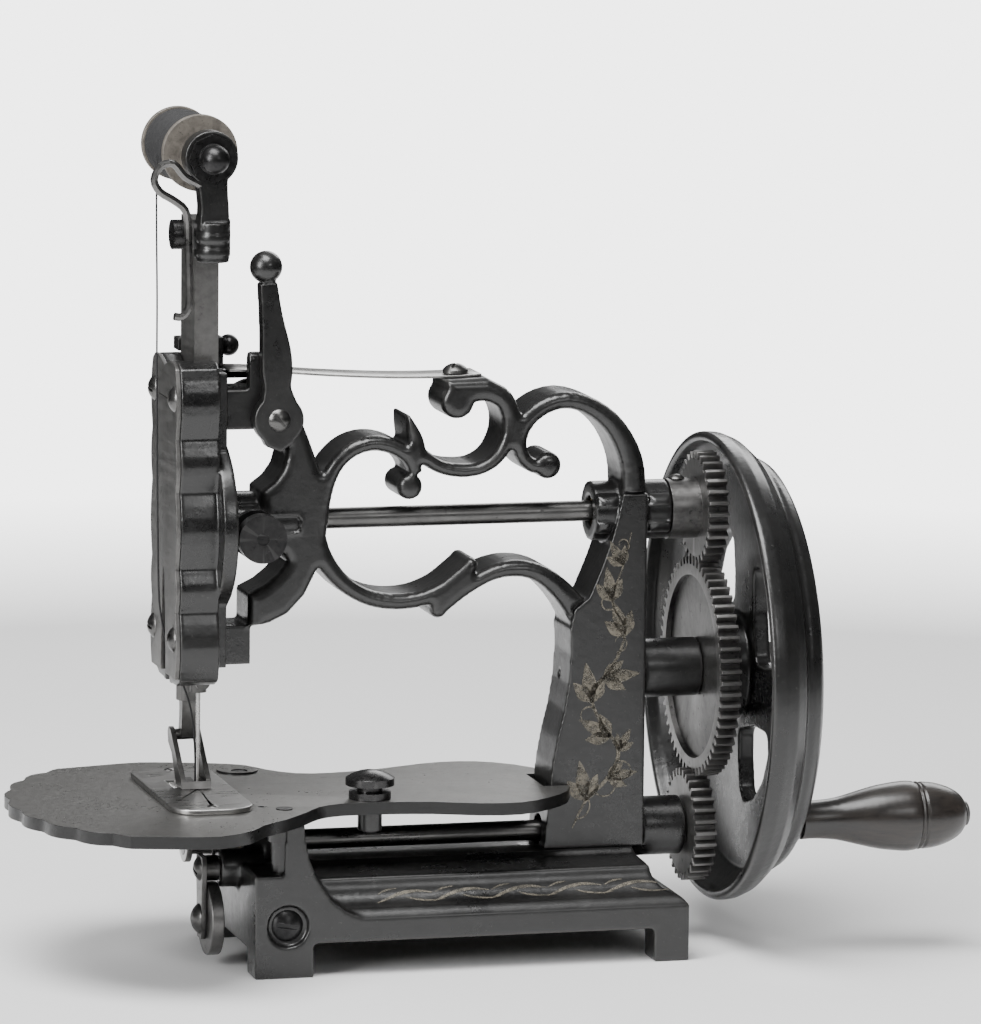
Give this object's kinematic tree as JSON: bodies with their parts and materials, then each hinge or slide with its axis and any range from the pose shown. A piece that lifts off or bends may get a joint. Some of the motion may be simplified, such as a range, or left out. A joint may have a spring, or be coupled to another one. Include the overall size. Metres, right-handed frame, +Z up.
{
  "type": "hand-crank sewing machine",
  "caption": "Antique hand-crank chain-stitch sewing machine: scroll arm on a column, geared hand wheel with wooden grip, needle bar with spool, cloth plate and iron base.",
  "frame": {"origin": "on the surface it stands on, under the centre of the machine's whole box", "axes": "+X from the needle head to the hand wheel, +Y from the front to the back, +Z up"},
  "size_m": [0.3478, 0.1714, 0.3047],
  "materials": {
    "japanned_iron": "glossy black japan over cast iron, worn at the edges",
    "bed_iron": "ground and polished iron, darkened with age",
    "face_steel": "brushed steel, dull with fine scratches and spots",
    "bright_steel": "polished steel with light wear",
    "gear_steel": "machined iron, oily and dark between the teeth",
    "shaft_steel": "turned steel, dark patina",
    "brass": "dull, oiled",
    "grip_wood": "turned hardwood, dark polished finish",
    "spool_wood": "plain turned birch",
    "dark_cotton": "wound sewing cotton"
  },
  "bodies": {
    "frame": {"base": "japanned_iron", "column_bolts": "shaft_steel", "arm_frame": "japanned_iron", "head_casting": "japanned_iron", "face_plate": "face_steel", "face_plate_screws": "shaft_steel", "bed_plate": "bed_iron", "needle_plate": "bright_steel", "needle_plate_screws": "shaft_steel", "bed_posts": "japanned_iron", "block_screw": "shaft_steel", "bed_knob_nut": "japanned_iron", "feed_guide": "shaft_steel", "gear_stud": "shaft_steel", "stud_nut": "shaft_steel", "main_bushings": "brass", "lower_bushings": "brass", "leaf_spring": "bright_steel", "spring_screw": "shaft_steel"},
    "wheel": {"wheel_gear": "gear_steel", "hand_wheel": "japanned_iron", "crank_spindle": "shaft_steel", "grip_cap": "shaft_steel"},
    "grip": {"grip": "grip_wood"},
    "main_shaft": {"main_shaft": "shaft_steel", "top_gear": "gear_steel", "set_screw": "shaft_steel", "crank_disc": "bright_steel"},
    "lower_shaft": {"lower_shaft": "shaft_steel", "lower_gear": "gear_steel", "looper": "bright_steel", "feed_cam": "gear_steel"},
    "needle_bar": {"needle_bar": "face_steel", "needle_clamp": "bright_steel", "needle": "bright_steel", "spool_bracket": "japanned_iron", "bracket_nut": "shaft_steel", "thread_guide": "shaft_steel", "spool_spindle": "shaft_steel", "thread": "dark_cotton"},
    "spool": {"spool": "spool_wood", "spool_thread": "dark_cotton"},
    "lifter": {"lifter_lever": "japanned_iron", "lifter_cam": "shaft_steel", "lever_screw": "shaft_steel"},
    "presser": {"presser_bar": "bright_steel", "lifter_yoke": "japanned_iron", "yoke_knob": "shaft_steel", "presser_foot": "bright_steel", "foot_screw": "shaft_steel"},
    "rocker": {"rocker_shaft": "shaft_steel", "rocker_arm": "shaft_steel", "rocker_screws": "shaft_steel"},
    "rocker_disc": {"rocker_disc": "gear_steel"},
    "feed": {"feed_bar": "shaft_steel", "feed_dog": "bright_steel"},
    "lock_knob": {"lock_knob": "shaft_steel"},
    "bed_knob": {"bed_knob": "shaft_steel"}
  },
  "joints": [
    {"name": "wheel_spin", "type": "hinge", "parent": "frame", "child": "wheel", "pos_m": [0.0841, 0, 0.1], "axis": [1, 0, 0], "continuous": true},
    {"name": "main_shaft_spin", "type": "hinge", "parent": "frame", "child": "main_shaft", "pos_m": [-0.0029, 0, 0.1585], "axis": [1, 0, 0], "continuous": true},
    {"name": "lower_shaft_spin", "type": "hinge", "parent": "frame", "child": "lower_shaft", "pos_m": [-0.0029, 0, 0.0415], "axis": [1, 0, 0], "continuous": true},
    {"name": "grip_spin", "type": "hinge", "parent": "wheel", "child": "grip", "pos_m": [0.1371, -0.044, 0.05], "axis": [1, 0, 0], "continuous": true},
    {"name": "needle_bar_slide", "type": "slide", "parent": "frame", "child": "needle_bar", "axis": [0, 0, 1], "range_m": [0, 0.018]},
    {"name": "spool_spin", "type": "hinge", "parent": "needle_bar", "child": "spool", "pos_m": [-0.1037, 0.018, 0.291], "axis": [0, 1, 0], "continuous": true},
    {"name": "lifter_turn", "type": "hinge", "parent": "frame", "child": "lifter", "pos_m": [-0.0784, 0, 0.197], "axis": [0, 1, 0], "range_deg": [0, 80]},
    {"name": "presser_slide", "type": "slide", "parent": "frame", "child": "presser", "axis": [0, 0, 1], "range_m": [0, 0.00364], "deforming": ["leaf_spring"]},
    {"name": "rocker_swing", "type": "hinge", "parent": "frame", "child": "rocker", "pos_m": [-0.0929, -0.014, 0.0353], "axis": [1, 0, 0], "range_deg": [-10, 10]},
    {"name": "rocker_disc_spin", "type": "hinge", "parent": "rocker", "child": "rocker_disc", "pos_m": [-0.1014, -0.014, 0.017], "axis": [1, 0, 0], "continuous": true},
    {"name": "feed_slide", "type": "slide", "parent": "frame", "child": "feed", "axis": [0, 1, 0], "range_m": [-0.0015, 0.0015]},
    {"name": "lock_knob_turn", "type": "hinge", "parent": "frame", "child": "lock_knob", "pos_m": [-0.0864, -0.02, 0.156], "axis": [0, 1, 0], "range_deg": [-180, 180]},
    {"name": "bed_knob_turn", "type": "hinge", "parent": "frame", "child": "bed_knob", "pos_m": [-0.0451, -0.022, 0.06], "axis": [0, 0, 1], "range_deg": [-180, 180]}
  ],
  "couplings": [
    {"joint": "main_shaft_spin", "follows": "wheel_spin", "ratio": -2},
    {"joint": "lower_shaft_spin", "follows": "wheel_spin", "ratio": -2},
    {"joint": "presser_slide", "follows": "lifter_turn", "m_per_rad": 0.0026}
  ]
}
